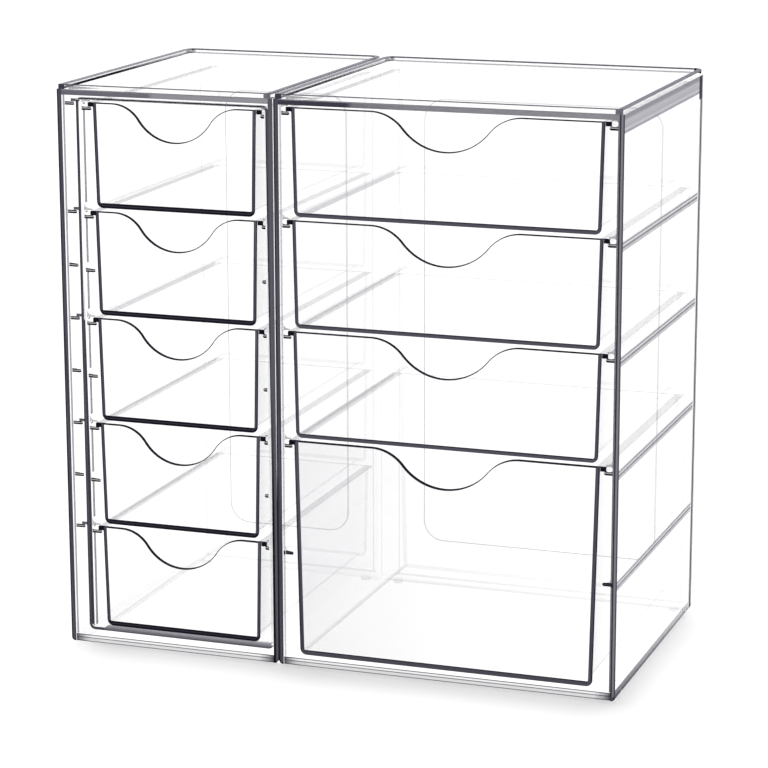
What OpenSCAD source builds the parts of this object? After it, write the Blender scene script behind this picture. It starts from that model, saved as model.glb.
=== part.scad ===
// A pair of clear acrylic drawer towers for makeup, a narrow one and a wide one, standing side by side.
// Each tower is an open-fronted shell closed by a lid tray and a base tray. Drawers hang in it by the
// flanges along their top edges, which run on rails moulded into the side walls.
// Millimetres. The drawers open towards -Y and +Z is up. The origin is on the floor, under the middle.

/* [Towers] */
// Depth of both towers
tower_d = 177; // [150:1:220]
// Height of both towers, from the underside of the base to the top of the rim
tower_h = 312; // [280:1:360]
// Width of the narrow tower on the left
narrow_w = 124; // [105:1:160]
// Width of the wide tower on the right
wide_w = 189; // [160:1:240]
// Air between the two towers
tower_gap = 0.4; // [0.2:0.1:3]

/* [Shells] */
// Thickness of the side walls
wall = 2.7; // [2:0.1:4]
// Thickness of the back wall
back_t = 2.5; // [1.8:0.1:4]
// Radius of the upright corners at the back
back_r = 8; // [5:0.5:14]
// Radius of the lower edges of the side walls
sole_r = 2.2; // [1:0.1:2.4]
// Thickness of the lining on the inside of the side walls
lining_t = 1.1; // [0.6:0.1:1.5]
// Depth of the plain lip in front of the lining
lip_d = 1.4; // [0.8:0.1:4]
// Depth of the recessed field on the outside of the back
field_depth = 0.8; // [0.4:0.1:1.2]
// Border round the recessed field
field_border = 24; // [16:1:32]
// Corner radius of the recessed field
field_r = 12; // [4:1:16]

/* [Lid and base] */
// Thickness of the lid's plate
lid_t = 3; // [2:0.1:5]
// Height of the rim above the lid's plate
rim_h = 2.6; // [1.5:0.1:6]
// Thickness of the rim along the front
rim_front_t = 1.4; // [1:0.1:3]
// Thickness of the rim along the sides and the back
rim_side_t = 2.6; // [2.2:0.1:3.2]
// Step from the outside of the shell in to the rim, at the sides and the back
rim_step = 1; // [0.4:0.1:1.4]
// Overall height of the base tray
base_h = 4.2; // [3.5:0.1:8]
// Thickness of the base tray's plate and skirt
base_t = 1.6; // [1.2:0.1:2.5]
// Distance from the front edge of the shell back to the base tray
base_setback = 0.6; // [0:0.1:3]
// Diameter of the lugs that lock the base to the side walls
lug_d = 2.2; // [1.6:0.1:2.4]
// Distance from the front edge, or from the start of a back corner, to the lugs
lug_inset = 12; // [6:0.5:30]
// Clearance round the lugs
lug_clear = 0.1; // [0.05:0.05:0.3]
// How far the lugs end short of the outside
lug_short = 0.5; // [0.3:0.1:1]

/* [Feet] */
// Diameter of the feet
foot_d = 6; // [4:0.5:10]
// How far the feet lift the base off the floor
foot_h = 2; // [1:0.1:5]
// Distance from the sides of the tower to the middle of the feet
foot_inset_x = 10; // [8:1:40]
// Distance from the front and the back of the tower to the middle of the feet
foot_inset_y = 8; // [7:1:40]

/* [Rails] */
// Thickness of a rail's ledge
ledge_t = 1.9; // [1.4:0.1:3]
// Thickness of the lip above a drawer's flange
lip_t = 0.9; // [0.6:0.1:1.3]
// How much further the ledge reaches than the lip
lip_short = 0.8; // [0:0.1:1.2]
// Radius of the fillet above a rail
rail_fillet = 3.6; // [1:0.1:5]
// How far the ledge reaches in under the flange
rail_overlap = 1.6; // [1.2:0.1:2.4]
// Air between a flange and its rail
slide_clear = 0.3; // [0.2:0.05:0.6]

/* [Carrier] */
// Thickness of the narrow tower's inner sleeve
carrier_t = 1.6; // [1.2:0.1:2.4]
// Space between the left wall and the sleeve
carrier_bay = 8.1; // [6:0.1:12]
// Corner radius of the sleeve
carrier_r = 3.4; // [2.6:0.1:6]
// Air between the lid and the sleeve
carrier_top_gap = 0.8; // [0.3:0.1:3]
// Air between the base and the sleeve
carrier_base_gap = 3.4; // [1:0.1:8]
// How far the sleeve sits behind the front edge
carrier_setback = 0.6; // [0:0.1:3]
// How far the upper hooks sit below the top of the sleeve
hook_drop = 1; // [0.5:0.1:2]
// Reach of the sleeve's hooks
hook_w = 3; // [2:0.1:4]
// Thickness of the sleeve's hooks
hook_t = 1.6; // [1:0.1:2.5]

/* [Drawers] */
// Air between one drawer and the next
drawer_gap = 2.1; // [1.5:0.1:5]
// Space between a wide drawer and the side walls
wide_bay = 7.3; // [6:0.1:12]
// Space between a narrow drawer and the sleeve's left wall
narrow_bay_left = 8.6; // [6:0.1:12]
// Space between a narrow drawer and the sleeve's right wall
narrow_bay_right = 5; // [4.6:0.1:12]
// Air under the lowest narrow drawer
narrow_floor_gap = 1.9; // [1:0.1:8]
// Air that a shallow wide drawer has below it in the lowest place
wide_floor_gap = 4.6; // [3:0.1:10]
// Air under the deep drawer
deep_floor_gap = 2.5; // [1:0.1:8]
// Air between the backs of the drawers and the back wall
drawer_back_gap = 3; // [1:0.5:12]
// Thickness of a shallow drawer's walls, front and back
drawer_wall = 2; // [1.4:0.1:3]
// Thickness of a shallow drawer's floor
drawer_floor = 2.1; // [1.4:0.1:3]
// Thickness of the deep drawer's walls, front and back
deep_wall = 2.4; // [1.6:0.1:3.4]
// Thickness of the deep drawer's floor
deep_floor = 2.9; // [1.6:0.1:4]
// Lean of a drawer's sides, in degrees
drawer_draft = 1.2; // [0:0.1:1.6]
// Outer radius of a drawer's lower corners
drawer_r = 3.6; // [3.5:0.1:6]
// Reach of the flange along the top of each side
flange_w = 3.2; // [2.6:0.1:3.6]
// Thickness of the flange
flange_t = 2.2; // [1.6:0.1:3]
// How far the flanges start behind a drawer's front
flange_setback = 0.4; // [0.2:0.1:3]

/* [Finger scoops] */
// Overall width of a wide drawer's scoop
wide_scoop_w = 82; // [60:1:120]
// Overall width of a narrow drawer's scoop
narrow_scoop_w = 72; // [50:1:80]
// Depth of a scoop
scoop_h = 19.5; // [12:0.5:24]
// Share of a scoop's curve that the rounded shoulder takes, the rest being the hollow
shoulder_share = 0.43; // [0.3:0.01:0.6]

/* [Mould marks] */
// Diameter of the round gate marks under a wide drawer
gate_d = 5; // [3:0.5:8]
// Depth of the gate marks
gate_depth = 0.4; // [0.2:0.1:0.8]
// Distance between the two gate marks
gate_pitch = 29; // [16:1:60]

/* [Hidden] */
eps = 0.01;
arc_steps = 10;
lid_z = tower_h - rim_h - lid_t;
pair_w = narrow_w + tower_gap + wide_w;
rail_y = lip_d + 0.4;
inner_d = tower_d - back_t;
channel_h = flange_t + 2 * slide_clear;
flange_root = 0.8;
hook_root = carrier_t - 0.2;

// The narrow tower's sleeve and its drawers
carrier_x = wall + carrier_bay;
carrier_w = narrow_w - wall - carrier_x;
carrier_z = base_h + carrier_base_gap;
carrier_top = lid_z - carrier_top_gap;
carrier_inner_w = carrier_w - 2 * carrier_t;
carrier_d = inner_d - (back_r - wall) - carrier_setback;
narrow_drawer_w = carrier_inner_w - narrow_bay_left - narrow_bay_right;
narrow_drawer_x = carrier_x + carrier_t + narrow_bay_left + narrow_drawer_w / 2;
narrow_slots = 5;
narrow_top = carrier_top - carrier_t - lip_t - slide_clear;
narrow_low = carrier_z + carrier_t + narrow_floor_gap;
narrow_pitch = (narrow_top + drawer_gap - narrow_low) / narrow_slots;
narrow_drawer_h = narrow_pitch - drawer_gap;
hook_tops = [for (k = [0 : narrow_slots - 1]) carrier_top - hook_drop - k * narrow_pitch];

// The wide tower's drawers
wide_slots = 5;
wide_drawer_w = wide_w - 2 * wall - 2 * wide_bay;
wide_top = lid_z - lip_t - slide_clear;
wide_low = base_h + wide_floor_gap;
wide_pitch = (wide_top + drawer_gap - wide_low) / wide_slots;
wide_drawer_h = wide_pitch - drawer_gap;
deep_top = wide_top - (wide_slots - 2) * wide_pitch;
deep_drawer_h = deep_top - base_h - deep_floor_gap;
drawer_l = inner_d - drawer_back_gap;

// Points of an arc about c, from angle a0 to angle a1
function arc(c, r, a0, a1, n = arc_steps) =
    [for (i = [0 : n]) c + r * [cos(a0 + (a1 - a0) * i / n), sin(a0 + (a1 - a0) * i / n)]];

// Extrudes a front-view outline, drawn in X and Z, from depth y0 to depth y1
module along_y(y0, y1) {
    translate([0, y1, 0]) rotate([90, 0, 0]) linear_extrude(height = y1 - y0) children();
}

// Puts a piece drawn from its tower's lower left front corner in its place
module in_narrow() {
    translate([-pair_w / 2, -tower_d / 2, foot_h]) children();
}
module in_wide() {
    translate([-pair_w / 2 + narrow_w + tower_gap, -tower_d / 2, foot_h]) children();
}

// Plan outline with square corners in front and round ones at the back
module plan(w, d, r) {
    polygon(concat([[0, 0], [w, 0]], arc([w - r, d - r], r, 0, 90), arc([r, d - r], r, 90, 180)));
}

// Upright rectangle with four round corners
module round_box(w, h, r) {
    polygon(concat(arc([r, r], r, 180, 270), arc([w - r, r], r, 270, 360),
                   arc([w - r, h - r], r, 0, 90), arc([r, h - r], r, 90, 180)));
}

// The face of a fillet that runs from the lining down to the top of a rail at height z
function fillet_arc(z, r) = r > 0 ? arc([lining_t + r, z + r], r, 270, 180) : [[lining_t, z]];

// Section of a bare ledge that reaches out of a wall at x = 0, with its top at z = 0
module ledge_section(reach, fillet) {
    nose = ledge_t / 2;
    polygon(concat([[-eps, -ledge_t]], arc([reach - nose, -nose], nose, -90, 90),
                   fillet_arc(0, fillet), [[-eps, fillet]]));
}

// Section of a rail: a ledge, a round-ended channel for the flange and a lip above it
module rail_section(reach, fillet) {
    nose = ledge_t / 2;
    lip_end = reach - lip_short;
    lip_top = channel_h + lip_t;
    end_r = min(channel_h / 2, lip_end - lip_t - lining_t);
    polygon(concat([[-eps, -ledge_t]], arc([reach - nose, -nose], nose, -90, 90),
                   arc([lining_t + end_r, end_r], end_r, 270, 180),
                   arc([lining_t + end_r, channel_h - end_r], end_r, 180, 90),
                   arc([lip_end - lip_t / 2, channel_h + lip_t / 2], lip_t / 2, -90, 90),
                   fillet_arc(lip_top, fillet), [[-eps, lip_top + fillet]]));
}

// Reach of a ledge that stops rail_overlap inside the flange of a drawer across a bay
function reach_over(bay, flange) = bay - flange + rail_overlap;
// Fillet that leaves the nose of a rail free
function fillet_for(reach) = min(rail_fillet, reach - lip_short - lip_t - lining_t);

// Thin lining between the rails on a wall at x = 0
module lining_section(z0, z1) {
    translate([-eps, z0]) square([lining_t + eps, z1 - z0]);
}

// Outline of the front of a drawer, drawn about its middle from its underside up
module tub_outline(w, h, r, above = 0) {
    lean = tan(drawer_draft);
    corner_x = w / 2 - lean * (h - r) - r / cos(drawer_draft);
    top_x = w / 2 + lean * above;
    polygon(concat([[top_x, h + above], [-top_x, h + above]],
                   arc([-corner_x, r], r, 180 + drawer_draft, 270),
                   arc([corner_x, r], r, 270, 360 - drawer_draft)));
}

// Outline of the hollow of a drawer's finger scoop, which leaves the top edge in two smooth shoulders
module scoop_outline(w, h) {
    turn = 2 * atan(h / (w / 2));
    radii = w / 2 / sin(turn);
    shoulder = radii * shoulder_share;
    hollow = radii - shoulder;
    polygon(concat([[w / 2 + 1, 1], [-w / 2 - 1, 1], [-w / 2 - 1, 0]],
                   arc([-w / 2, -shoulder], shoulder, 90, 90 - turn),
                   arc([0, hollow - h], hollow, 270 - turn, 270 + turn, 2 * arc_steps),
                   arc([w / 2, -shoulder], shoulder, 90 + turn, 90), [[w / 2 + 1, 0]]));
}

// A drawer about x = 0, standing on z = 0, with its front face at y = 0
module drawer(w, h, wall_t, floor_t, scoop_w) {
    inner_r = max(drawer_r - wall_t, 0.6);
    difference() {
        union() {
            along_y(0, drawer_l) tub_outline(w, h, drawer_r);
            for (side = [-1, 1])
                along_y(flange_setback, drawer_l)
                    translate([side * (w / 2 + (flange_w - flange_root) / 2), h - flange_t / 2])
                        square([flange_w + flange_root, flange_t], center = true);
        }
        along_y(wall_t, drawer_l - wall_t)
            translate([0, floor_t]) tub_outline(w - 2 * wall_t, h - floor_t, inner_r, 1);
        along_y(-1, wall_t + 1) translate([0, h]) scoop_outline(scoop_w, scoop_h);
    }
}

// The two round gate marks under a wide drawer
module gate_marks() {
    for (x = [0, gate_pitch])
        translate([x, drawer_l / 2, -1]) cylinder(d = gate_d, h = 1 + gate_depth, $fn = 32);
}

// Front outline of a shell, which is round along the lower edges of the side walls
module shell_outline(w) {
    polygon(concat(arc([sole_r, sole_r], sole_r, 180, 270), arc([w - sole_r, sole_r], sole_r, 270, 360),
                   [[w, tower_h], [0, tower_h]]));
}

// Shell of a tower, without its rails: side walls and back, with the lugs' holes and the back's field
module shell(w) {
    difference() {
        intersection() {
            linear_extrude(height = tower_h - rim_h) plan(w, tower_d, back_r);
            along_y(-1, tower_d + 1) shell_outline(w);
        }
        translate([wall, -1, -1])
            linear_extrude(height = tower_h + 2) plan(w - 2 * wall, inner_d + 1, back_r - wall);
        along_y(tower_d - field_depth, tower_d + 1)
            translate([field_border, field_border])
                round_box(w - 2 * field_border, tower_h - 2 * field_border, field_r);
        lugs(w, lug_d + 2 * lug_clear, -1);
    }
}

// The four lugs of a base, or their holes, which end this much short of the outside
module lugs(w, d, short) {
    for (side = [0, 1], y = [lug_inset, tower_d - back_r - lug_inset])
        translate([side * w, 0, 0]) mirror([side, 0, 0]) translate([short, y, base_h / 2])
            rotate([0, 90, 0]) cylinder(d = d, h = wall + base_t / 2 - short, $fn = 32);
}

// Lid: a plate between the walls, and a rim that stands on them
module lid(w) {
    outer_r = back_r - rim_step;
    translate([wall, 0, lid_z]) linear_extrude(height = lid_t) plan(w - 2 * wall, inner_d, back_r - wall);
    translate([rim_step, 0, lid_z + lid_t]) linear_extrude(height = rim_h) difference() {
        plan(w - 2 * rim_step, tower_d - rim_step, outer_r);
        translate([rim_side_t, rim_front_t])
            plan(w - 2 * rim_step - 2 * rim_side_t, tower_d - rim_step - rim_side_t - rim_front_t,
                 outer_r - rim_side_t);
    }
}

// Base: a shallow tray, open downwards, that closes the shell between the walls
module base(w) {
    inside_w = w - 2 * wall;
    inside_d = inner_d - base_setback;
    translate([wall, base_setback, 0]) difference() {
        linear_extrude(height = base_h) plan(inside_w, inside_d, back_r - wall);
        translate([base_t, base_t, -1])
            linear_extrude(height = base_h - base_t + 1)
                plan(inside_w - 2 * base_t, inside_d - 2 * base_t, back_r - wall - base_t);
    }
    lugs(w, lug_d, lug_short);
}

// Feet: four round pads that stand in the base tray and reach the floor
module feet(w) {
    for (x = [foot_inset_x, w - foot_inset_x], y = [foot_inset_y, tower_d - foot_inset_y])
        translate([x, y, -foot_h]) cylinder(d = foot_d, h = foot_h + base_h - base_t, $fn = 32);
}

module narrow_shell() {
    reach = reach_over(carrier_bay, hook_w);
    fillet = fillet_for(reach);
    color([0.86, 0.89, 0.93, 0.45]) in_narrow() {
        shell(narrow_w);
        along_y(lip_d, inner_d) translate([wall, 0]) lining_section(base_h, lid_z);
        along_y(rail_y, inner_d) translate([wall, 0]) {
            for (z = hook_tops) translate([0, z - hook_t - slide_clear]) ledge_section(reach, 0);
            for (k = [1 : narrow_slots - 2])
                translate([0, hook_tops[k] - hook_t - slide_clear - narrow_pitch / 2])
                    ledge_section(reach, fillet);
        }
    }
}

module narrow_lid() {
    color([0.88, 0.9, 0.94, 0.45]) in_narrow() lid(narrow_w);
}

module narrow_base() {
    color([0.84, 0.87, 0.91, 0.45]) in_narrow() base(narrow_w);
}

module narrow_feet() {
    color([0.75, 0.77, 0.8, 0.7]) in_narrow() feet(narrow_w);
}

// Inner sleeve of the narrow tower: a round-cornered box open in front and behind, with hooks and rails
module narrow_carrier() {
    left_reach = reach_over(narrow_bay_left, flange_w);
    right_reach = reach_over(narrow_bay_right, flange_w);
    y0 = carrier_setback;
    carrier_h = carrier_top - carrier_z;
    color([0.84, 0.87, 0.93, 0.45]) in_narrow() {
        difference() {
            along_y(y0, y0 + carrier_d)
                translate([carrier_x, carrier_z]) round_box(carrier_w, carrier_h, carrier_r);
            along_y(y0 - 1, y0 + carrier_d + 1)
                translate([carrier_x + carrier_t, carrier_z + carrier_t])
                    round_box(carrier_inner_w, carrier_h - 2 * carrier_t, carrier_r - carrier_t);
        }
        along_y(y0, y0 + carrier_d) for (z = hook_tops)
            translate([carrier_x - hook_w, z - hook_t]) square([hook_w + hook_root, hook_t]);
        translate([carrier_x + carrier_t, 0, 0]) carrier_side(left_reach, y0 + carrier_d);
        translate([carrier_x + carrier_w - carrier_t, 0, 0]) mirror([1, 0, 0])
            carrier_side(right_reach, y0 + carrier_d);
    }
}

// The lining and rails up one side of the sleeve: a rail for each drawer, and bare ledges between them
module carrier_side(reach, y1) {
    fillet = fillet_for(reach);
    along_y(lip_d, y1) lining_section(carrier_z + carrier_t / 2, carrier_top - carrier_t / 2);
    along_y(rail_y, y1) {
        for (k = [0 : narrow_slots - 1])
            translate([0, narrow_ledge(k)]) rail_section(reach, k == 0 ? 0 : fillet);
        for (k = [1 : narrow_slots - 2])
            translate([0, narrow_ledge(k) - narrow_pitch / 2]) ledge_section(reach, fillet);
    }
}
function narrow_ledge(k) = narrow_top - k * narrow_pitch - flange_t - slide_clear;

module narrow_drawer(k) {
    color([0.9, 0.92, 0.96, 0.5]) in_narrow()
        translate([narrow_drawer_x, 0, narrow_top - narrow_drawer_h - k * narrow_pitch])
            drawer(narrow_drawer_w, narrow_drawer_h, drawer_wall, drawer_floor, narrow_scoop_w);
}
module narrow_drawer_1() { narrow_drawer(0); }
module narrow_drawer_2() { narrow_drawer(1); }
module narrow_drawer_3() { narrow_drawer(2); }
module narrow_drawer_4() { narrow_drawer(3); }
module narrow_drawer_5() { narrow_drawer(4); }

// The rails up one side of the wide shell, and the bare ledge half way up the deep bay
module wide_rails(reach) {
    fillet = fillet_for(reach);
    for (k = [0 : wide_slots - 2])
        translate([0, wide_ledge(k)]) rail_section(reach, k == 0 ? 0 : fillet);
    translate([0, wide_ledge(wide_slots - 1)]) ledge_section(reach, fillet);
}
function wide_ledge(k) = wide_top - k * wide_pitch - flange_t - slide_clear;

module wide_shell() {
    reach = reach_over(wide_bay, flange_w);
    color([0.86, 0.89, 0.93, 0.45]) in_wide() {
        shell(wide_w);
        for (side = [0, 1]) translate([side * wide_w, 0, 0]) mirror([side, 0, 0]) {
            along_y(lip_d, inner_d) translate([wall, 0]) lining_section(base_h, lid_z);
            along_y(rail_y, inner_d) translate([wall, 0]) wide_rails(reach);
        }
    }
}

module wide_lid() {
    color([0.88, 0.9, 0.94, 0.45]) in_wide() lid(wide_w);
}

module wide_base() {
    color([0.84, 0.87, 0.91, 0.45]) in_wide() base(wide_w);
}

module wide_feet() {
    color([0.75, 0.77, 0.8, 0.7]) in_wide() feet(wide_w);
}

module wide_drawer(k) {
    color([0.9, 0.92, 0.96, 0.5]) in_wide()
        translate([wide_w / 2, 0, wide_top - wide_drawer_h - k * wide_pitch]) difference() {
            drawer(wide_drawer_w, wide_drawer_h, drawer_wall, drawer_floor, wide_scoop_w);
            gate_marks();
        }
}
module wide_drawer_1() { wide_drawer(0); }
module wide_drawer_2() { wide_drawer(1); }
module wide_drawer_3() { wide_drawer(2); }

module wide_deep_drawer() {
    color([0.9, 0.92, 0.96, 0.5]) in_wide()
        translate([wide_w / 2, 0, deep_top - deep_drawer_h]) difference() {
            drawer(wide_drawer_w, deep_drawer_h, deep_wall, deep_floor, wide_scoop_w);
            gate_marks();
        }
}

narrow_shell();
narrow_lid();
narrow_base();
narrow_feet();
narrow_carrier();
narrow_drawer_1();
narrow_drawer_2();
narrow_drawer_3();
narrow_drawer_4();
narrow_drawer_5();
wide_shell();
wide_lid();
wide_base();
wide_feet();
wide_drawer_1();
wide_drawer_2();
wide_drawer_3();
wide_deep_drawer();
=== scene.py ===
# %% [markdown]
# This lesson dresses a pair of clear drawer towers for makeup. Every solid is already in the frame that
# the CAD step packed, and the solids are right as they are, so no new piece is made here. What is left is
# finish, light and a camera. Clear plastic is hard to show by tracing light through it: it takes long, it
# stays noisy, and it can't be exported. The way used here is the one of a product sheet. Nearly all of a
# clear wall is left open, and it is painted only where a real one turns dark: along its cut edges, its
# corners, its rails and its lines.

# %% Load the packed towers
import math
import bpy
from mathutils import Matrix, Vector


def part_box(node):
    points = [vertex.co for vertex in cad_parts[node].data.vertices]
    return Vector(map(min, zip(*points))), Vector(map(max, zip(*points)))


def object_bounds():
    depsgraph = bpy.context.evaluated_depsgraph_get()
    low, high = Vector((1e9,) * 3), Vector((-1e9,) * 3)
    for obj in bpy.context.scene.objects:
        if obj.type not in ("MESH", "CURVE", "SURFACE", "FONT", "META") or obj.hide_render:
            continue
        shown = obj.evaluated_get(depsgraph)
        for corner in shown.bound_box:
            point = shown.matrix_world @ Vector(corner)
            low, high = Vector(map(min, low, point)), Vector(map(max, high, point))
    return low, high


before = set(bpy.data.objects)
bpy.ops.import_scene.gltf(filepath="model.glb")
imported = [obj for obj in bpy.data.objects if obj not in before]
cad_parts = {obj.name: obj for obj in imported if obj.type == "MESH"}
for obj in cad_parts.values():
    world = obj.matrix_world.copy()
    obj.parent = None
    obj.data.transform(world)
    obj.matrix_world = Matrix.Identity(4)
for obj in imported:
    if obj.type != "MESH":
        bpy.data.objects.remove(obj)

cad_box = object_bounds()
print("nodes:", sorted(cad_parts))

# %% [markdown]
# The camera comes first, so that every later look at the picture is a fair one. The towers were
# photographed from a little above and from their right with a long lens, so their edges stay nearly
# parallel. Its place was worked out from the straight edges of the real pair.

# %% Place the camera
CAMERA_PLACE = (0.5176, -1.4742, 0.5100)
CAMERA_YAW = 19.435
CAMERA_DOWN = 13.275
CAMERA_ROLL = -0.118
CAMERA_LENS = 134.59


def turn(degrees, axis):
    return Matrix.Rotation(math.radians(degrees), 4, axis)


bpy.ops.object.camera_add(location=CAMERA_PLACE)
camera = bpy.context.object
camera.name = "camera"
camera.data.lens = CAMERA_LENS
camera.data.clip_end = 100
camera.matrix_world = (Matrix.Translation(CAMERA_PLACE) @ turn(CAMERA_YAW, "Z")
                       @ turn(90 - CAMERA_DOWN, "X") @ turn(CAMERA_ROLL, "Z"))
bpy.context.scene.camera = camera
print("camera at", CAMERA_PLACE)

# %% [markdown]
# A finish is a sum over a surface: so dark here, so clear there. Such sums are easier to read as sums than
# as a chart of nodes, so a Value wraps one socket, and + or * between Values adds a Math node. A test such
# as "between these two heights" is one node too, and gives 1 where it holds and 0 elsewhere, so that a
# product of tests means "and".

# %% Wrap a socket


class Value:
    def __init__(self, recipe, socket):
        self.recipe, self.socket = recipe, socket

    def sum(self, operation, *others, clamp=False):
        return self.recipe.node("ShaderNodeMath", {"operation": operation, "use_clamp": clamp},
                                dict(enumerate((self,) + others)))

    def __add__(self, other):
        return self.sum("ADD", other)

    def __sub__(self, other):
        return self.sum("SUBTRACT", other)

    def __rsub__(self, other):
        return self.sum("MULTIPLY_ADD", -1, other)

    def __mul__(self, other):
        return self.sum("MULTIPLY", other)

    def __abs__(self):
        return self.sum("ABSOLUTE")

    __radd__ = __add__
    __rmul__ = __mul__

    def least(self, other):
        return self.sum("MINIMUM", other)

    def most(self, other):
        return self.sum("MAXIMUM", other)

    def past(self, place):
        return self.sum("GREATER_THAN", place)

    def before(self, place):
        return self.sum("LESS_THAN", place)

    def around(self, place, slack):
        return self.sum("COMPARE", place, slack)

    def between(self, low, high):
        return self.around((low + high) / 2, (high - low) / 2)

    def fade(self, full, none):
        """1 up to one place, then falling evenly to 0 at another."""
        return self.sum("MULTIPLY_ADD", 1 / (full - none), none / (none - full), clamp=True)


print("a Value can:", [name for name in vars(Value) if not name.startswith("_")])

# %% [markdown]
# The nodes of a material or of the world are a recipe, and every node in it is made by one method. It takes
# the node's type, then its settings, which are set first, and then a value or another node's socket for
# each of its own sockets. Colours are written as they look on a screen, from 0 to 255, and turned into the
# plain amounts of light that a shader works in.

# %% Write a recipe


def plain(colour):
    return tuple(((c / 255 + 0.055) / 1.055) ** 2.4 if c > 10 else c / 255 / 12.92 for c in colour) + (1,)


class Recipe:
    def __init__(self, owner):
        owner.use_nodes = True
        self.tree = owner.node_tree
        self.tree.nodes.clear()

    def node(self, kind, settings, sockets, out=0):
        made = self.tree.nodes.new(kind)
        for name, value in settings.items():
            if name == "stops":
                self.set_stops(made.color_ramp, value)
            else:
                setattr(made, name, value)
        for name, value in sockets.items():
            if isinstance(value, Value):
                self.tree.links.new(value.socket, made.inputs[name])
            else:
                made.inputs[name].default_value = value
        return Value(self, made.outputs[out]) if made.outputs else None

    def set_stops(self, ramp, stops):
        while len(ramp.elements) > 1:
            ramp.elements.remove(ramp.elements[0])
        for k, (place, colour, alpha) in enumerate(stops):
            stop = ramp.elements.new(place) if k else ramp.elements[0]
            stop.position = place
            stop.color = plain(colour)[:3] + (alpha,)

    def parts(self, vector):
        first = self.node("ShaderNodeSeparateXYZ", {}, {0: vector})
        return [Value(self, first.socket.node.outputs[i]) for i in range(3)]

    def length(self, a, b):
        flat = self.node("ShaderNodeCombineXYZ", {}, {0: a, 1: b})
        return self.node("ShaderNodeVectorMath", {"operation": "LENGTH"}, {0: flat}, 1)


print("white is", plain((255, 255, 255)))

# %% [markdown]
# A Finish is the recipe of one clear piece. It starts nearly open, and each coat then lays one tone over
# the last wherever its mask is 1. Places are in millimetres from a corner that the piece chooses, and three
# masks tell which way a face points: frontal, sideways or level. They use the size of the normal's parts
# and not their sign, because the back of a face has its normal turned round. The plastic has no gloss here,
# because under a white sky a gloss lays white over every painted line that is seen at a slant.
#
# A shadow ray needs no detail, so it is told apart by Light Path and passes a thin even tint. That makes the
# picture many times quicker, and it gives the faint shadow of a clear thing. The wide tower holds more
# plastic, so its shadow is a little deeper.

# %% Lay coats on a clear piece
CLEAR, OPEN = (228, 228, 234), 0.012
SMOOTH, RUBBERY, ACRYLIC_IOR = 0.08, 0.45, 1.49
SHADOW_TINTS = {"narrow": 0.94, "wide": 0.88}
MM_IN_A_METRE, FACING, SLACK, FINE_SLACK = 1000, 0.7, 0.2, 0.1


class Finish(Recipe):
    def __init__(self, name, corner, roughness=SMOOTH):
        self.material = bpy.data.materials.new(name)
        super().__init__(self.material)
        self.roughness = roughness
        self.tint = SHADOW_TINTS[name.split("_")[0]]
        place = self.node("ShaderNodeTexCoord", {}, {}, "Object")
        self.x, self.y, self.z = self.parts(self.node(
            "ShaderNodeVectorMath", {"operation": "MULTIPLY_ADD"},
            {0: place, 1: (MM_IN_A_METRE,) * 3, 2: tuple(-c for c in corner)}))
        normal = self.node("ShaderNodeTexCoord", {}, {}, "Normal")
        facing = self.node("ShaderNodeVectorMath", {"operation": "ABSOLUTE"}, {0: normal})
        self.sideways, self.frontal, self.level = (part.past(FACING) for part in self.parts(facing))
        self.colour, self.alpha = plain(CLEAR), OPEN

    def foremost(self):
        """The faces in front, where the piece begins."""
        return self.frontal * self.y.before(SLACK)

    def front_at(self, y, slack=SLACK):
        """The faces that look to the front or the back from one depth."""
        return self.frontal * self.y.around(y, slack)

    def coat(self, mask, colour, alpha):
        over = colour if isinstance(colour, Value) else plain(colour)
        self.colour = self.node("ShaderNodeMix", {"data_type": "RGBA"}, {0: mask, 6: self.colour, 7: over}, 2)
        self.alpha = self.node("ShaderNodeMix", {"data_type": "FLOAT"}, {0: mask, 2: self.alpha, 3: alpha})

    def profile(self, along, stops):
        """Colour and alpha that change along a line, from stops of (place in mm, colour, alpha)."""
        low, high = stops[0][0], stops[-1][0]
        shares = [((at - low) / (high - low), tone, alpha) for at, tone, alpha in stops]
        ramp = self.node("ShaderNodeValToRGB", {"stops": shares},
                         {0: along.sum("MULTIPLY_ADD", 1 / (high - low), -low / (high - low))})
        return ramp, Value(self, ramp.socket.node.outputs[1])

    def streak(self, low, high):
        """A tone that drifts between two colours, in short steps sideways and in long ones upwards."""
        along = self.x * 0.9 + self.y * 0.11 + self.z * 0.028
        noise = self.node("ShaderNodeTexNoise", {"noise_dimensions": "1D"},
                          {"W": along, "Scale": 1, "Detail": 2})
        share = noise.sum("MULTIPLY_ADD", 3, -1, clamp=True)
        return self.node("ShaderNodeMix", {"data_type": "RGBA"}, {0: share, 6: plain(low), 7: plain(high)}, 2)

    def done(self):
        shader = self.node("ShaderNodeBsdfPrincipled", {},
                           {"Base Color": self.colour, "Alpha": self.alpha, "Roughness": self.roughness,
                            "IOR": ACRYLIC_IOR, "Specular IOR Level": 0}, "BSDF")
        through = self.node("ShaderNodeBsdfTransparent", {}, {0: (self.tint,) * 3 + (1,)})
        shadow = self.node("ShaderNodeLightPath", {}, {}, "Is Shadow Ray")
        both = self.node("ShaderNodeMixShader", {}, {0: shadow, 1: shader, 2: through})
        self.node("ShaderNodeOutputMaterial", {}, {0: both})
        return self.material


finishes = {}
print("open walls have alpha", OPEN)

# %% [markdown]
# The masks need to know where walls, rails and drawers run. Their places come from the boxes of the nodes
# in the frame, in millimetres from the lower left front corner of each tower. Only what a box can't tell,
# such as how thick a wall is, is said here in numbers, and these are the numbers that the solids have.

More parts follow.
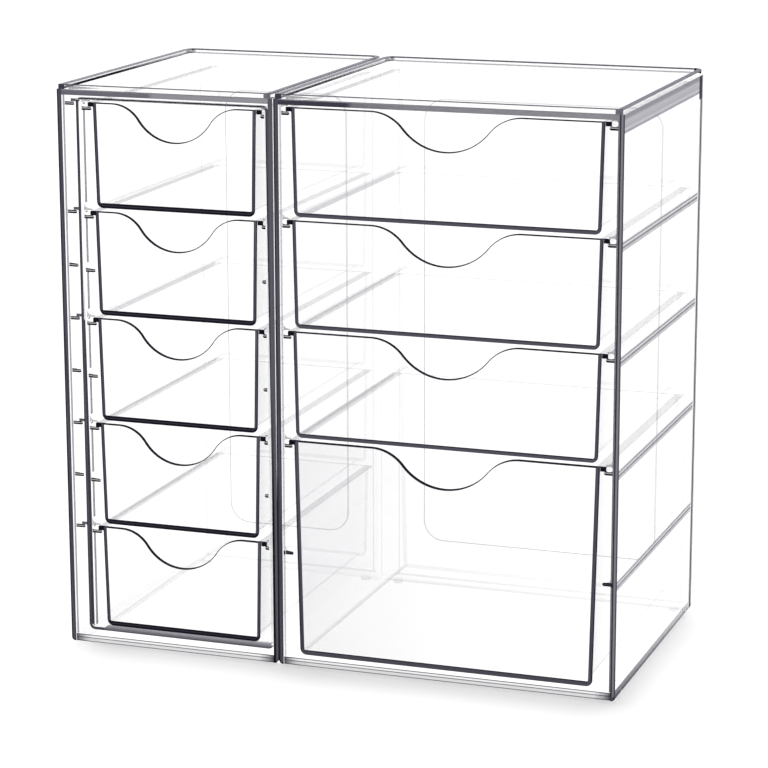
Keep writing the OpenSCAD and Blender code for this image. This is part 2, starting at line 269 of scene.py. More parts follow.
# %% Measure the towers
WALL, LINING, LINING_FRONT, RAIL_FRONT = 2.7, 1.1, 1.4, 1.8
BACK_R, FIELD_BORDER, FIELD_R, SOLE_R = 8.0, 24.0, 12.0, 2.2
RIM, RIM_STEP, RIM_FRONT, RIM_SIDE = 2.6, 1.0, 1.4, 2.6
BASE_FRONT, LEDGE_DROP, HOOK_DROP, DEEP_LEDGE = 0.6, 2.5, 2.9, 4


def box_mm(node):
    return [[MM_IN_A_METRE * v for v in corner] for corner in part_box(node)]


def tower_places(tower):
    low, high = box_mm(tower + "_shell")
    tops = [box_mm("%s_drawer_%d" % (tower, k))[1][2] - low[2] for k in (1, 2)]
    return dict(corner=low, width=high[0] - low[0], depth=high[1] - low[1], plate_top=high[2] - low[2],
                ledge=tops[0] - LEDGE_DROP, pitch=tops[0] - tops[1])


NARROW, WIDE = tower_places("narrow"), tower_places("wide")
for tower in (NARROW, WIDE):
    print({name: value if name == "corner" else round(value, 2) for name, value in tower.items()})

# %% [markdown]
# These are the tones of the real plastic, as a screen shows them. Cut edges go slate, a blue grey that
# drifts from nearly black to a lighter lavender. What is seen through more plastic is paler.

# %% Name the tones
BLACK, INK, DARK, SLATE = (8, 8, 12), (26, 25, 34), (42, 41, 52), (70, 69, 82)
PALE_SLATE, GREY, PALE = (100, 99, 110), (150, 150, 158), (205, 204, 210)
FAINT, WHITE = (228, 228, 232), (250, 250, 252)
SOLID = 1.0


def cast(brightness, blue=8):
    """A grey of some brightness with the faint blue of the plastic."""
    return (brightness, brightness - 1, brightness + blue)


print("slate in plain light:", [round(c, 3) for c in plain(SLATE)])

# %% [markdown]
# A drawer is one clear moulding. Its front shows a dark frame, because there the eye looks along the side
# walls and the floor behind the panel, edge on, and sees no way out of the plastic. So the frame is as wide
# as those walls are thick, and follows the drawer's leaning sides and round lower corners. The distance
# from any point to that outline is worked out as for a rounded box, and all of the frame's tones are read
# from that one distance. The front edges of the towers' own walls are painted in the same way.

# %% Find the depth inside a rounded outline
OUTSIDE, OUTLINE_SHARE = -0.3, 0.25


def depth_inside(f, across, down, r):
    """Distance in from an outline with round corners, given the distances past the corners' middles."""
    corner = f.length(across.most(0), down.most(0))
    return r - corner - across.most(down).least(0)


def dark_edge(f, mask, depth, thick):
    """Paints a cut edge: slate that drifts, with a darker line along its outside."""
    f.coat(mask * depth.between(OUTSIDE, thick), f.streak(SLATE, PALE_SLATE), SOLID)
    f.coat(mask * depth.between(OUTSIDE, OUTLINE_SHARE * thick), DARK, SOLID)


print("an edge is slate from", SLATE, "to", PALE_SLATE)

# %% [markdown]
# The scoop at the top of each front leaves the straight edge in two round shoulders and meets in a round
# hollow. A thin dark line runs along it, partly the cut face of the panel and partly the front's own edge.
# The line on the front is again a distance, here from two arcs, and the finish works the arcs out from the
# scoop's width and height as the CAD does.

# %% Find the distance from the scoop
SCOOP_H, SHOULDER_SHARE, SCOOP_LINE = 19.5, 0.43, 0.5


def scoop_distance(f, half, top):
    angle = 2 * math.atan(SCOOP_H / half)
    radii = half / math.sin(angle)
    shoulder = radii * SHOULDER_SHARE
    hollow = radii - shoulder
    side = abs(f.x)
    past_shoulder = shoulder - f.length((side - half).least(0), (f.z - (top - shoulder)).most(0))
    past_hollow = f.length(f.x, f.z - (top + hollow - SCOOP_H)) - hollow
    middle = side.before(hollow * math.sin(angle))
    return f.node("ShaderNodeMix", {"data_type": "FLOAT"}, {0: middle, 2: past_shoulder, 3: past_hollow})


print("the scoop is", SCOOP_H, "mm deep")

# %% [markdown]
# Along the floor the dark frame has tones of its own. The narrow drawers show it nearly black with a lighter
# core, and the wide ones a lighter band under a dark line. Each list of tones here and below holds stops
# of a place in millimetres, a colour and an alpha, and a place here is a depth inside the outline.

# %% List the tones along a drawer's floor
NARROW_BOTTOM = [(0, SLATE, SOLID), (0.4, INK, SOLID), (1.1, INK, SOLID), (1.2, cast(60, 10), SOLID),
                 (1.7, cast(60, 10), SOLID), (1.8, INK, SOLID), (2.5, INK, SOLID), (2.8, SLATE, SOLID)]
WIDE_BOTTOM = [(0, PALE_SLATE, SOLID), (0.4, cast(92, 10), SOLID), (1.6, cast(92, 10), SOLID),
               (1.8, DARK, SOLID), (2.3, DARK, SOLID)]
DEEP_BOTTOM = [(0, PALE_SLATE, SOLID), (0.4, cast(92, 10), SOLID), (2.1, cast(92, 10), SOLID),
               (2.3, DARK, SOLID), (2.8, DARK, SOLID)]
print("tones along the floors:", len(NARROW_BOTTOM), len(WIDE_BOTTOM), len(DEEP_BOTTOM))

# %% [markdown]
# The drawer's panel carries a faint grey of painted shade, the shade of the drawer's inside, which thins
# towards the right and is strongest on the deep drawer, whose walls are thicker. The right wall near the
# front carries painted shade as well, on the side away from the lamp. Behind the front, the tops and lower
# edges of the walls, the edges of the floor and the frame of the back are left as thin traces, so that an
# open drawer still reads as a box. The wide drawers carry two round gate marks under the floor, which are in
# the solids and are left unpainted.

# %% Finish the drawers
DRAWER_R, LEAN = 3.6, math.tan(math.radians(1.2))
FLANGE, FLANGE_T = 3.2, 2.2
FLOOR_EDGE, SHADE_REACH, SHADE_WIDTH, LEAST_SHADE = 4.4, 50, 6, 0.01


def drawer_finish(node, wall, floor, scoop, shade_veil, right_wall_shade, bottom):
    low, high = box_mm(node)
    half = (high[0] - low[0]) / 2 - FLANGE
    height, length = high[2] - low[2], high[1] - low[1]
    f = Finish(node + "_acrylic", ((low[0] + high[0]) / 2, low[1], low[2]))
    side = abs(f.x)
    across = side - (f.z * LEAN + (half - LEAN * height - DRAWER_R))
    depth = depth_inside(f, across, DRAWER_R - f.z, DRAWER_R)
    front = f.foremost()
    back = f.frontal * f.y.past(length - wall - SLACK)
    # traces behind the front
    f.coat(f.level * f.z.around(floor, 0.1) * (half - side).before(wall + FLOOR_EDGE), FAINT, 0.2)
    f.coat(back * depth.between(-1, wall), PALE, 0.14)
    f.coat(f.level * f.z.past(height - 0.1), GREY, 0.3)
    f.coat((1 - f.frontal) * depth.before(0.3) * f.z.between(0.5, 1.9), GREY, 0.18)
    f.coat(f.sideways * side.past(half + FLANGE - 0.3), GREY, 0.2)
    # painted shade on the drawer's right wall, the side away from the lamp, fading towards the back
    f.coat(f.sideways * f.x.past(half - SHADE_WIDTH), PALE,
           (f.y.fade(0, SHADE_REACH) * right_wall_shade).most(LEAST_SHADE))
    # the painted shade of the drawer's inside, strongest at the left
    f.coat(front, PALE, f.x.fade(-half, half) * shade_veil + 0.004)
    # the scoop and the straight edges beside it
    f.coat(front * scoop_distance(f, scoop / 2, height).before(SCOOP_LINE), DARK, SOLID)
    near = f.y.before(wall + 0.1) * f.z.past(height - SCOOP_H - 0.4)
    f.coat(near * f.level.most((1 - f.frontal) * side.before(scoop / 2 + 0.4)), DARK, SOLID)
    # the frame, and its part along the floor
    dark_edge(f, front, depth, wall)
    tall = bottom[-1][0]
    f.coat(front * depth.between(OUTSIDE, tall) * f.z.before(tall), *f.profile(depth, bottom))
    # the ends of the flanges
    ends = f.frontal * f.y.before(1) * side.past(half - SLACK)
    f.coat(ends * f.z.past(height - FLANGE_T - 0.1), INK, SOLID)
    return f.done()


for k in range(1, 6):
    node = "narrow_drawer_%d" % k
    finishes[node] = drawer_finish(node, 2.0, 2.1, 72, 0, 0.2, NARROW_BOTTOM)
for k in range(1, 4):
    node = "wide_drawer_%d" % k
    finishes[node] = drawer_finish(node, 2.0, 2.1, 82, 0.1, 0.15, WIDE_BOTTOM)
finishes["wide_deep_drawer"] = drawer_finish("wide_deep_drawer", 2.4, 2.9, 82, 0.3, 0.15, DEEP_BOTTOM)
print("drawers finished:", len(finishes))

# %% [markdown]
# A rail is a ledge that reaches out of the wall, with a channel over it for a drawer's flange. From the
# front its end shows as a small light shape with a dark underline, and the lining beside it as one thin
# grey line. In the narrow tower a bare ledge with a slimmer end runs between two rails. The rails are one
# pitch apart, so the height is first folded to the distance above the nearest ledge below, and one short
# list of tones then serves them all.

# %% Paint the ends of rails
END_TONES = [(-2.0, BLACK, SOLID), (-1.1, BLACK, SOLID), (-1.0, GREY, 0.9), (-0.5, PALE, 0.9),
             (-0.4, DARK, SOLID), (0.0, DARK, SOLID), (0.2, PALE, 0.6), (3.0, GREY, 0.7), (9.0, FAINT, 0.4)]
BARE_TONES = [(-2.0, INK, SOLID), (-1.2, INK, SOLID), (-1.1, GREY, 0.9), (-0.7, PALE, 0.9),
              (-0.6, DARK, SOLID), (0.1, DARK, SOLID), (0.2, FAINT, 0.3), (9.0, FAINT, 0.3)]
BARE_TOP, LINING_GREY = 0.2, (136, 136, 145)


def above_ledge(f, ledge, pitch, tones):
    """Height above the nearest ledge, counted from the first of the tones."""
    start = tones[0][0]
    return (f.z - (ledge + start)).sum("FLOORED_MODULO", pitch) + start


def rail_ends(f, inset, start, ledge, pitch):
    ends = f.front_at(RAIL_FRONT) * inset.past(start)
    f.coat(ends, *f.profile(above_ledge(f, ledge, pitch, END_TONES), END_TONES))
    return ends


def lining_line(f, inset, start, alpha):
    beside = inset.between(start - FINE_SLACK, start + LINING + FINE_SLACK)
    f.coat(f.front_at(LINING_FRONT, FINE_SLACK) * beside, LINING_GREY, alpha)


print("a rail's end has", len(END_TONES), "tones")

# %% [markdown]
# Through the outside of a side wall each rail shows as a pair of fine lines that run back, and the lid and
# the base as grey bands. These lines lie on the wall in the solids' own places. They are strong on the
# outer walls of the pair and left off the walls where the towers touch. Where the right wall bends into the
# back it keeps a pale band and a darker line, darkest at the top.

# %% Paint the outside of a wall
RAIL_LINES = [(-3.5, WHITE, 0.02), (-3.4, PALE, 0.8), (-1.8, PALE, 0.8), (-1.7, cast(146), 0.95),
              (-0.8, cast(146), 0.95), (-0.7, FAINT, 0.8), (0.35, FAINT, 0.8), (0.45, cast(160), 0.95),
              (1.25, cast(160), 0.95), (1.35, FAINT, 0.5), (2.3, FAINT, 0.4), (2.4, WHITE, 0.02),
              (7.0, WHITE, 0.02), (7.1, FAINT, 0.4), (7.5, FAINT, 0.4), (7.6, WHITE, 0.02),
              (9.0, WHITE, 0.02)]
FOOT_TONES = [(0.0, cast(170), 0.95), (0.8, cast(146), 0.95), (1.8, cast(118), 0.95), (2.8, cast(108), 0.95),
              (3.6, cast(130), 0.95), (4.6, cast(132), 0.95), (5.2, cast(140), 0.95), (6.2, cast(160), 0.95),
              (6.4, WHITE, 0.02), (8.0, WHITE, 0.02)]
HEAD_TONES = [(-10.0, WHITE, 0.02), (-9.8, WHITE, 0.02), (-9.6, cast(176), 0.9), (-8.6, cast(172), 0.9),
              (-8.2, cast(196), 0.9), (-7.6, cast(216), 0.9), (-7.0, cast(200), 0.9), (-6.5, cast(186), 0.9),
              (-4.7, cast(194), 0.9), (-3.5, cast(202), 0.9), (-2.4, cast(172), 0.95),
              (-1.4, cast(156), 0.95), (-0.6, cast(168), 0.95), (0.0, cast(150), 0.95)]
FOOT_BAND, HEAD_BAND, HEAD_CLEAR, FOOT_THINS = 7, 9.8, 11, 0.4
PAST_THE_BEND, BEND_BAND, BEND_LINE, BEND_TOP, BEND_TOP_H = 3, 7, 4.6, 8, 13


def wall_outside(f, tower, inset, strength):
    sole = f.z.before(SOLE_R) * inset.before(SOLE_R + 0.1) * (1 - f.frontal)
    side = (f.sideways * inset.before(0.3)).most(sole)
    depth, plate_top = tower["depth"], tower["plate_top"]
    folded = above_ledge(f, tower["ledge"], tower["pitch"], RAIL_LINES)
    rails = f.z.between(FOOT_BAND, plate_top - HEAD_CLEAR)
    foot = f.z.before(FOOT_BAND) * (1 - f.y * (FOOT_THINS / depth))
    head = f.z.past(plate_top - HEAD_BAND)
    for mask, along, tones in ((rails, folded, RAIL_LINES), (foot, f.z, FOOT_TONES),
                               (head, f.z - plate_top, HEAD_TONES)):
        colour, alpha = f.profile(along, tones)
        f.coat(side * mask, colour, alpha * strength)
    bend = depth - BACK_R
    outside = inset.before(1.6) * (1 - f.level) * (strength * f.x.past(tower["width"] / 2))
    band, line, top = (outside * f.y.between(bend - reach, bend + PAST_THE_BEND)
                       for reach in (BEND_BAND, BEND_LINE, BEND_TOP))
    f.coat(band, PALE, 0.5)
    f.coat(line, cast(118), SOLID)
    f.coat(top * f.z.past(plate_top - BEND_TOP_H), cast(84), SOLID)


print("lines on a wall:", len(RAIL_LINES))

# %% [markdown]
# The back belongs to the shell's moulding. Fine lines show where its corners begin, along its upper and
# lower edges, and round the shallow field that is sunk into its outside. They are faint, since from the
# front each is seen through the whole tower.

# %% Draw the fine lines of the back
TRACE, FIELD_TRACE, FINE = 0.18, 0.35, 0.4


def back_lines(f, tower, inset):
    depth, plate_top = tower["depth"], tower["plate_top"]
    behind = f.frontal * f.y.past(depth - SLACK)
    f.coat(behind * inset.around(BACK_R, FINE), GREY, TRACE)
    f.coat(behind * (f.z.before(1.2) + f.z.past(plate_top - 1)), GREY, TRACE)
    bend = depth - BACK_R
    f.coat(f.sideways * inset.before(0.3) * f.y.between(bend - 2 * FINE, bend), GREY, TRACE)
    past = FIELD_BORDER + FIELD_R
    up = f.z.least(plate_top + RIM - f.z)
    field = depth_inside(f, past - inset, past - up, FIELD_R)
    f.coat(f.y.past(depth - 1) * field.around(0, FINE), GREY, FIELD_TRACE)


print("a line of the back has alpha", TRACE)

# %% [markdown]
# The front edges of the shell's walls are the darkest lines of the whole object. The shell's moulding goes
# all the way round the back, so its material is nearly open everywhere else. The strength of the outside's
# lines and of the lining is given as a pair of numbers, for the left wall and for the right one. On the
# right the lining's line stands a little off the wall.

# %% Finish what both shells share
LINING_SHIFT, TOPS_SHOWN = 0.5, 6


def shell_finish(name, tower, strengths, linings):
    f = Finish(name + "_acrylic", tower["corner"])
    inset = f.x.least(tower["width"] - f.x)
    far_side = f.x.past(tower["width"] / 2)
    strength, lining = (far_side * (right - left) + left for left, right in (strengths, linings))
    wall_outside(f, tower, inset, strength)
    back_lines(f, tower, inset)
    rail_ends(f, inset, WALL + LINING, tower["ledge"], tower["pitch"])
    lining_line(f, inset - far_side * (linings[1] * LINING_SHIFT), WALL, lining)
    depth = depth_inside(f, SOLE_R - inset, SOLE_R - f.z, SOLE_R)
    dark_edge(f, f.foremost(), depth, WALL)
    wall_tops = f.level * f.z.past(tower["plate_top"] - 0.1)
    f.coat(wall_tops, GREY, 0.15)
    f.coat(wall_tops * f.y.before(TOPS_SHOWN) * (1 - strength), cast(96), 0.9)
    return f


print("the dark edge of a wall is", WALL, "mm wide")

# %% [markdown]
# The narrow shell touches the other tower on its right. The edge of that wall is paler than the others, and
# near the floor the joint closes to one dark line. The left wall has bare ledges under the sleeve's hooks.

# %% Finish the narrow shell
JOINT_TONES = [(0, cast(112), SOLID), (0.8, cast(96, 9), SOLID), (1.6, cast(106), SOLID),
               (2.7, cast(96, 9), SOLID)]
JOINT_CLOSED, JOINT_OPEN, JOINT_LINE, JOINT_DEPTH = 91, 161, 1.4, 2.5


def narrow_shell_finish():
    f = shell_finish("narrow_shell", NARROW, (0.1, 0), (0.75, 0))
    front, from_right = f.foremost(), NARROW["width"] - f.x
    f.coat(front * from_right.before(WALL + 0.1), *f.profile(from_right, JOINT_TONES))
    low_down = f.z.fade(JOINT_CLOSED, JOINT_OPEN)
    f.coat(front * from_right.between(JOINT_LINE, WALL + 0.1) * low_down, INK, SOLID)
    f.coat(f.sideways * f.y.before(JOINT_DEPTH) * from_right.before(SLACK) * low_down, INK, SOLID)
    hooks = box_mm("narrow_carrier")[1][2] - NARROW["corner"][2] - HOOK_DROP
    height = above_ledge(f, hooks, NARROW["pitch"] / 2, BARE_TONES)
    f.coat(f.front_at(RAIL_FRONT), *f.profile(height, BARE_TONES))
    return f.done()


finishes["narrow_shell"] = narrow_shell_finish()
print("narrow shell finished")

# %% [markdown]
# The wide shell's right wall is seen a little from outside, so its edge has a light core between two dark
# lines. The lowest ledge stands alone in the deep bay, and its end is a dark pill that starts at the wall.

# %% Finish the wide shell
OUTER_TONES = [(0, cast(90, 9), SOLID), (0.7, cast(90, 9), SOLID), (0.9, cast(146, 7), SOLID),
               (1.7, cast(146, 7), SOLID), (1.9, cast(60, 9), SOLID), (2.7, cast(60, 9), SOLID)]
PILL_TONES = [(-2.1, INK, SOLID), (-1.3, INK, SOLID), (-1.2, SLATE, SOLID), (-0.6, SLATE, SOLID),
              (-0.5, INK, SOLID), (0.1, INK, SOLID)]


def wide_shell_finish():
    f = shell_finish("wide_shell", WIDE, (0, 1), (0.5, 1))
    from_right = WIDE["width"] - f.x
    f.coat(f.foremost() * from_right.before(WALL + 0.1) * f.z.past(SOLE_R),
           *f.profile(from_right, OUTER_TONES))
    pill = f.front_at((LINING_FRONT + RAIL_FRONT) / 2, 2 * SLACK) * f.x.least(from_right).past(WALL)
    height = f.z - (WIDE["ledge"] - DEEP_LEDGE * WIDE["pitch"])
    f.coat(pill * height.between(PILL_TONES[0][0], PILL_TONES[-1][0]), *f.profile(height, PILL_TONES))
    return f.done()


finishes["wide_shell"] = wide_shell_finish()
print("wide shell finished")

# %% [markdown]
# The narrow tower has a sleeve inside it, a thin round-cornered box that carries the rails of its drawers.
# Its front edge is the second dark frame. The frame is thin along the top. Its left side looks thicker
# further down, where the lining behind it goes dark too. Its right side lies against the wall and narrows
# downwards. Along the bottom it soon loses its dark tone, because there the light comes in from below.

# %% Finish the sleeve
SLEEVE, SLEEVE_R, SLEEVE_FRONT, HOOK = 1.6, 3.4, 0.6, 3.0
SLEEVE_FLOOR = [(0.0, cast(92, 10), SOLID), (0.45, cast(92, 10), SOLID), (0.7, cast(126, 7), SOLID),
                (1.6, (138, 138, 146), SOLID)]
FLOOR_TOP = [(0, cast(150), SOLID), (5, cast(196), SOLID), (6.5, (240, 240, 244), 0.5),
             (8, (240, 240, 244), 0.5)]
THIN_ABOVE, THICK_BELOW = 60, -60
STRIP_IN_THE_MIDDLE, STRIP_GROWS = 0.6, 0.0077


def sleeve_finish(node, tower):
    low, high = box_mm(node)
    low[0] += HOOK
    half, tall = (high[0] - low[0]) / 2, (high[2] - low[2]) / 2
    f = Finish(node + "_acrylic", (low[0] + half, tower["corner"][1], low[2] + tall))
    depth = depth_inside(f, abs(f.x) - (half - SLEEVE_R), abs(f.z) - (tall - SLEEVE_R), SLEEVE_R)
    front = f.front_at(SLEEVE_FRONT)
    inset = half - abs(f.x)
    # the ends of the rails, the bare ledges half way between them, and the frame
    ledge = tower["ledge"] + tower["corner"][2] - low[2] - tall
    ends = rail_ends(f, inset, SLEEVE + LINING, ledge, tower["pitch"])
    half_way = above_ledge(f, ledge - tower["pitch"] / 2, tower["pitch"], BARE_TONES)
    f.coat(ends * half_way.before(BARE_TOP), *f.profile(half_way, BARE_TONES))
    dark_edge(f, front, depth, SLEEVE)
    # the left side with its lining
    left = f.x.before(0)
    thicker = f.z.fade(THICK_BELOW, THIN_ABOVE) * LINING + SLEEVE
    f.coat(f.front_at(LINING_FRONT, FINE_SLACK) * left * (inset - thicker).before(0), cast(88, 10), SOLID)
    inner_side = f.sideways * left
    f.coat(inner_side * inset.around(SLEEVE, 0.1) * f.y.before(LINING_FRONT) * thicker.past(SLEEVE + 0.3),
           cast(88, 10), SOLID)
    f.coat(inner_side * inset.around(SLEEVE + LINING, 0.1) * f.y.between(3.4, 6), GREY, 0.85)
    # the right side
    strip = f.z * STRIP_GROWS + STRIP_IN_THE_MIDDLE
    right = front * f.x.past(half - SLEEVE)
    f.coat(right, PALE, 0.3)
    f.coat(right * (inset - strip).before(0), cast(96, 9), SOLID)
    f.coat(right * (inset - strip).between(-0.6, 0), INK, SOLID)
    # the bottom and the top
    past_corner = f.x.past(-half + 9)
    floor_top = f.level * f.z.around(SLEEVE - tall, SLACK) * f.y.before(FLOOR_TOP[-1][0])
    f.coat(floor_top * past_corner, *f.profile(f.y, FLOOR_TOP))
    f.coat(front * past_corner * f.z.before(2 - tall), *f.profile(f.z + tall, SLEEVE_FLOOR))
    f.coat(front * f.z.past(tall - SLEEVE), GREY, 0.7)
    f.coat(front * f.z.between(tall - 1.2, tall - 0.4), DARK, SOLID)
    # the hooks
    f.coat(front * f.x.before(-half), DARK, 0.9)
    return f.done()


finishes["narrow_carrier"] = sleeve_finish("narrow_carrier", NARROW)
print("sleeve finished")

# %% [markdown]
# The lid is a plate between the walls with a low rim on it. Seen from the front the plate is a slate band,
# darker at its left end and paler to the right, and the rim over it is bright, with a thin line along its
# top. The rim's inner face on the left shows the lavender of the plastic, with a dark foot that thins out
# towards the back. The rim's left back corner is dark, and so is the wide tower's right one.

# %% List the tones of the lids
NARROW_BAND = [(0, cast(118, 9), SOLID), (53, cast(124, 9), SOLID), (56, cast(164, 6), SOLID),
               (124, cast(166, 6), SOLID)]
WIDE_BAND = [(0, SLATE, SOLID), (41, SLATE, SOLID), (44, cast(116, 9), 0.95), (80, cast(138), 0.95),
             (189, cast(146, 7), 0.95)]
RIM_TONES = [(0.0, PALE_SLATE, 0.9), (0.5, PALE_SLATE, 0.9), (0.6, cast(226, 7), 0.6),
             (2.0, cast(240, 5), 0.4), (2.1, GREY, 0.9), (2.6, GREY, 0.9)]
BACK_RIM = [(0.0, PALE, 0.9), (0.4, PALE, 0.9), (0.5, WHITE, 0.1), (1.9, WHITE, 0.1),
            (2.0, PALE_SLATE, SOLID), (2.6, PALE_SLATE, SOLID)]
print("tones on a rim:", len(RIM_TONES))

# %% [markdown]
# On the rim's front a long thin wedge of grey points to the right from the left corner, and both ends of
# the front carry small dark blocks.

# %% Finish the lids
DARK_FOOT, FOOT_FULL, FOOT_GONE = 1.4, 75, 225
CORNER_REACH, LEFT_CORNER, LEFT_BLOCK, RIGHT_BLOCK = 6, 0.6, 4.6, 5
WEDGE_START, WEDGE_END, WEDGE_SLOPE, WEDGE_HEIGHT = 7, 26, 0.05, 1.1


def lid_finish(name, tower, band, corner, right_rim, rim_foot):
    f = Finish(name + "_acrylic", tower["corner"])
    depth, plate_top = tower["depth"], tower["plate_top"]
    inset = f.x.least(tower["width"] - f.x)
    left = f.x.before(tower["width"] / 2)
    rim = f.z.past(plate_top + 0.05)
    over_plate = f.z - plate_top
    # the top of the rim
    top = f.level * over_plate.past(RIM - 0.1)
    f.coat(top, cast(160), SOLID)
    f.coat(top * (1 - left) * inset.before(RIM_STEP + RIM_SIDE + 0.1), right_rim, SOLID)
    f.coat(top * f.y.before(RIM_FRONT + 0.1), cast(110), SOLID)
    f.coat(top * f.y.past(depth - 4), cast(150), SOLID)
    # the sides of the rim
    side = rim * f.sideways
    inner = inset.past(RIM_STEP + 0.5)
    f.coat(side * inner * left, *f.profile(over_plate, RIM_TONES))
    near = f.y.fade(FOOT_FULL, FOOT_GONE)
    f.coat(side * inner * left * over_plate.before(DARK_FOOT) * near, rim_foot, SOLID)
    f.coat(side * (1 - left) * (1 - inner) * over_plate.past(RIM - 0.7), cast(146), 0.95)
    # the back of the rim and its corners
    f.coat(rim * f.frontal * f.y.past(depth - 6), *f.profile(over_plate, BACK_RIM))
    dark = left * (LEFT_CORNER - corner) + corner
    f.coat(rim * f.y.past(depth - 5) * inset.before(CORNER_REACH) * dark, BLACK, SOLID)
    # the rim's front, its blocks and its wedge
    front = f.foremost()
    f.coat(front * rim, WHITE, 0.2)
    f.coat(front * over_plate.past(RIM - 0.45), SLATE, 0.9)
    f.coat(front * rim * inset.before(RIGHT_BLOCK) * (1 - left), PALE_SLATE, 0.95)
    f.coat(front * rim * f.x.before(LEFT_BLOCK), SLATE, SOLID)
    wedge = abs(over_plate - WEDGE_HEIGHT) - (WEDGE_END - f.x) * WEDGE_SLOPE
    f.coat(front * rim * f.x.past(WEDGE_START) * wedge.before(0), GREY, 0.8)
    # the plate's front
    f.coat(front * (1 - rim), *f.profile(f.x, band))
    f.coat(front * over_plate.between(-0.6, 0), cast(120, 9), 0.9)
    return f.done()


finishes["narrow_lid"] = lid_finish("narrow_lid", NARROW, NARROW_BAND, 0, cast(150), DARK)
finishes["wide_lid"] = lid_finish("wide_lid", WIDE, WIDE_BAND, 1, cast(138), cast(100))
print("lids finished")

# %% [markdown]
# The base is a shallow tray turned over. Light comes through it from below, so its front stays nearly white
# between three thin lines, and it darkens only next to the walls. The feet are pads of soft clear rubber.

# %% Finish the bases and the feet
BASE_TONES = [(0.0, cast(136, 7), 0.95), (0.5, cast(136, 7), 0.95), (0.55, FAINT, 0.6), (2.0, FAINT, 0.6),
              (2.05, cast(140, 7), 0.9), (2.6, cast(140, 7), 0.9), (2.65, WHITE, 0.4), (3.6, WHITE, 0.4),
              (3.65, cast(136, 7), 0.95), (4.2, cast(136, 7), 0.95)]
CORNER_SHADE, PAD_BOTTOM = 9, -1.4


def base_finish(name, tower):
    f = Finish(name + "_acrylic", tower["corner"])
    front = f.front_at(BASE_FRONT)
    f.coat(front, *f.profile(f.z, BASE_TONES))
    inset = f.x.least(tower["width"] - f.x)
    f.coat(front * inset.fade(WALL, WALL + CORNER_SHADE), SLATE, SOLID)
    return f.done()


def foot_finish(name, tower):
    f = Finish(name + "_pads", tower["corner"], RUBBERY)
    f.coat(f.z.before(0.1), PALE, 0.05)
    f.coat(f.z.before(PAD_BOTTOM), GREY, 0.12)
    return f.done()


for name, tower in (("narrow", NARROW), ("wide", WIDE)):
    finishes[name + "_base"] = base_finish(name + "_base", tower)
    finishes[name + "_feet"] = foot_finish(name + "_feet", tower)
print("finishes:", len(finishes))

# %% [markdown]
# The CAD nodes stay as they are and only their material slots are filled.

# %% Put the finishes on the nodes
for node, material in finishes.items():
    for slot in bpy.data.objects[node].material_slots:
        slot.material = material
print("nodes without a finish:", sorted(set(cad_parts) - set(finishes)))

# %% [markdown]
# The studio is white. Its world is even, and what the camera sees of it is white while the light that it
# gives stays plain. The same mask serves the floor below.

# %% Light the world
WORLD_LIGHT, WHITE_LIGHT = 0.45, (1, 1, 1, 1)


def seen_by_eye(recipe):
    """1 for rays that show the studio: from the camera, a gloss or a clear piece."""
    kinds = [recipe.node("ShaderNodeLightPath", {}, {}, "Is %s Ray" % kind)
             for kind in ("Camera", "Glossy", "Transmission")]
    return kinds[0].most(kinds[1]).most(kinds[2])


world = bpy.data.worlds.new("studio")
bpy.context.scene.world = world
sky = Recipe(world)
lit, shown = (sky.node("ShaderNodeBackground", {}, {"Color": WHITE_LIGHT, "Strength": strength})
              for strength in (WORLD_LIGHT, 1))
even = sky.node("ShaderNodeMixShader", {}, {0: seen_by_eye(sky), 1: lit, 2: shown})
sky.node("ShaderNodeOutputWorld", {}, {0: even})
print("world gives", WORLD_LIGHT)

# %% [markdown]
# The floor is a sheet of matt white paper that runs out of sight. It shines a little of itself, so that it
# shows as white as the world behind it and still takes the towers' shadow. Straight under the towers it
# shines fully, as a light table does, because on the real sheet the ground seen through the clear plastic
# is as white as the open ground beside it, and only a soft shadow lies in front.

# %% Lay the paper
PAPER_GLOW, GLOW_SHARE, PATCH_GLOW = 2.0, 0.12, 1.16
PATCH_IN_X, PATCH_IN_Y = 0.004, 0.006

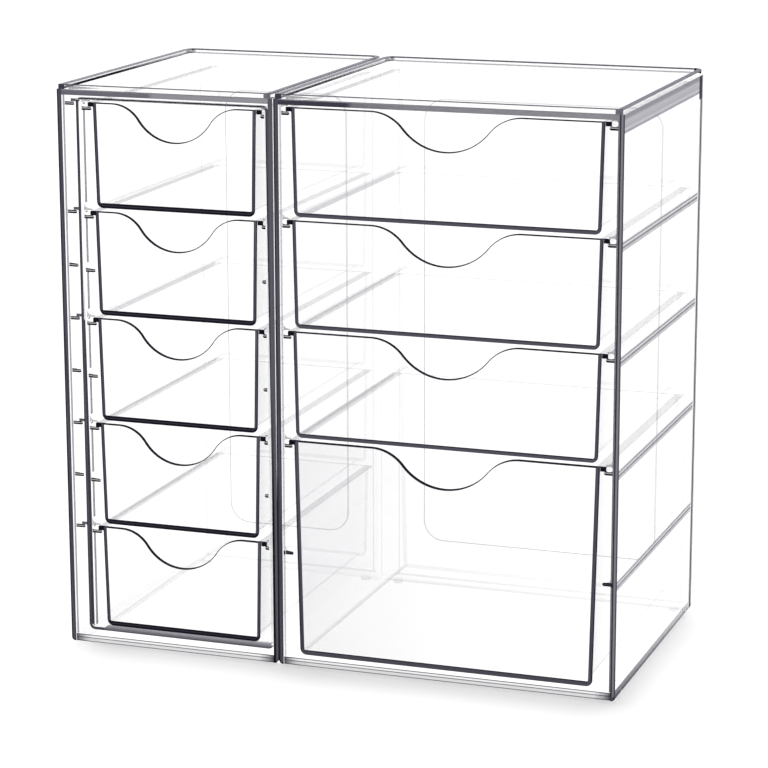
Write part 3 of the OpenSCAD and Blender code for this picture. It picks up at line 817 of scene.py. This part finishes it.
bpy.ops.mesh.primitive_plane_add(size=60)
floor = bpy.context.object
floor.name = "studio_floor"
paper = bpy.data.materials.new("studio_paper")
sheet = Recipe(paper)
matt = sheet.node("ShaderNodeBsdfPrincipled", {},
                  {"Base Color": WHITE_LIGHT, "Roughness": 1.0, "Specular IOR Level": 0.0}, "BSDF")
spot = sheet.parts(sheet.node("ShaderNodeTexCoord", {}, {}, "Object"))
(x0, y0, _), (x1, y1, _) = cad_box
under = (spot[0].between(x0 + PATCH_IN_X, x1 - PATCH_IN_X)
         * spot[1].between(y0 + PATCH_IN_Y, y1 - PATCH_IN_Y))
glow = sheet.node("ShaderNodeEmission", {}, {"Strength": PAPER_GLOW - under * (PAPER_GLOW - PATCH_GLOW)})
bright = sheet.node("ShaderNodeMixShader", {}, {0: under * (1 - GLOW_SHARE) + GLOW_SHARE, 1: matt, 2: glow})
seen = sheet.node("ShaderNodeMixShader", {}, {0: seen_by_eye(sheet), 1: matt, 2: bright})
sheet.node("ShaderNodeOutputMaterial", {}, {0: seen})
floor.data.materials.append(paper)
print("floor", floor.dimensions[:2])

# %% [markdown]
# One sun stands nearly overhead, a little behind the towers and to their left, so that their faint shadow
# falls to the front and to the right. A sun lights near and far ground alike, so the paper stays even up
# to the horizon, and its wide disc gives the shadow a soft edge.

# %% Hang the lamp
LAMP_LIGHT, LAMP_PLACE, LAMP_DISC = 1.95, (-0.06, 0.17, 2.0), 11

bpy.ops.object.light_add(type="SUN", location=LAMP_PLACE)
lamp = bpy.context.object
lamp.name = "studio_lamp"
lamp.data.angle = math.radians(LAMP_DISC)
lamp.data.energy = LAMP_LIGHT
lamp.rotation_euler = (-lamp.location).to_track_quat("-Z", "Y").to_euler()
print("lamp", LAMP_PLACE)

# %% [markdown]
# A ray may have to pass some sixty clear faces before it leaves the pair, so it is let through that many,
# while two bounces of plain light are enough in a white room.

# %% Set how the picture is shown
scene = bpy.context.scene
scene.view_settings.view_transform = "Standard"
scene.cycles.transparent_max_bounces = 128
scene.cycles.max_bounces = 2
print("view", scene.view_settings.view_transform)

# %% [markdown]
